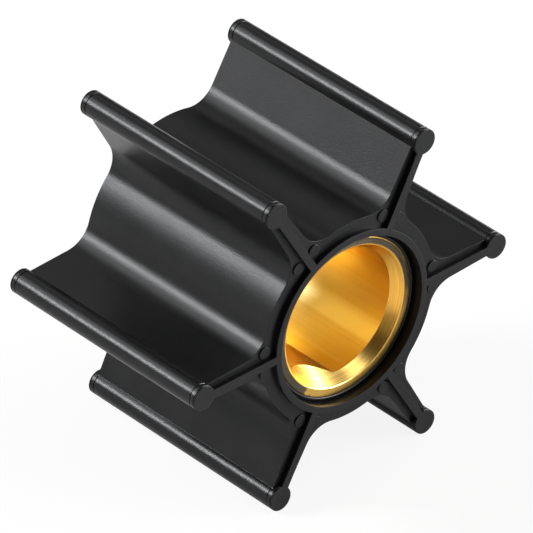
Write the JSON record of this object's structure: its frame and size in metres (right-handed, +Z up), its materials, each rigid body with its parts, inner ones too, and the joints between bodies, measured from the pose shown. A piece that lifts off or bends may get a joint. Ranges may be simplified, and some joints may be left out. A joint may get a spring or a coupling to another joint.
{
  "type": "pump impeller",
  "caption": "Flexible-vane rubber pump impeller with round vane tips, bonded round a brass bush with a D-shaped drive bore.",
  "frame": {"origin": "centre of the impeller, on its axis halfway between the end faces", "axes": "+Y along the pump axis from the front face to the rear face, +Z up with the impeller lying on two vane tips, +X to the right seen from the front"},
  "size_m": [0.057, 0.038, 0.0498],
  "materials": {
    "rubber": "satin black, moulded",
    "brass": "turned, fine axial lines in the bore"
  },
  "bodies": {
    "root": {"rubber_body": "rubber", "brass_bush": "brass"}
  },
  "joints": []
}
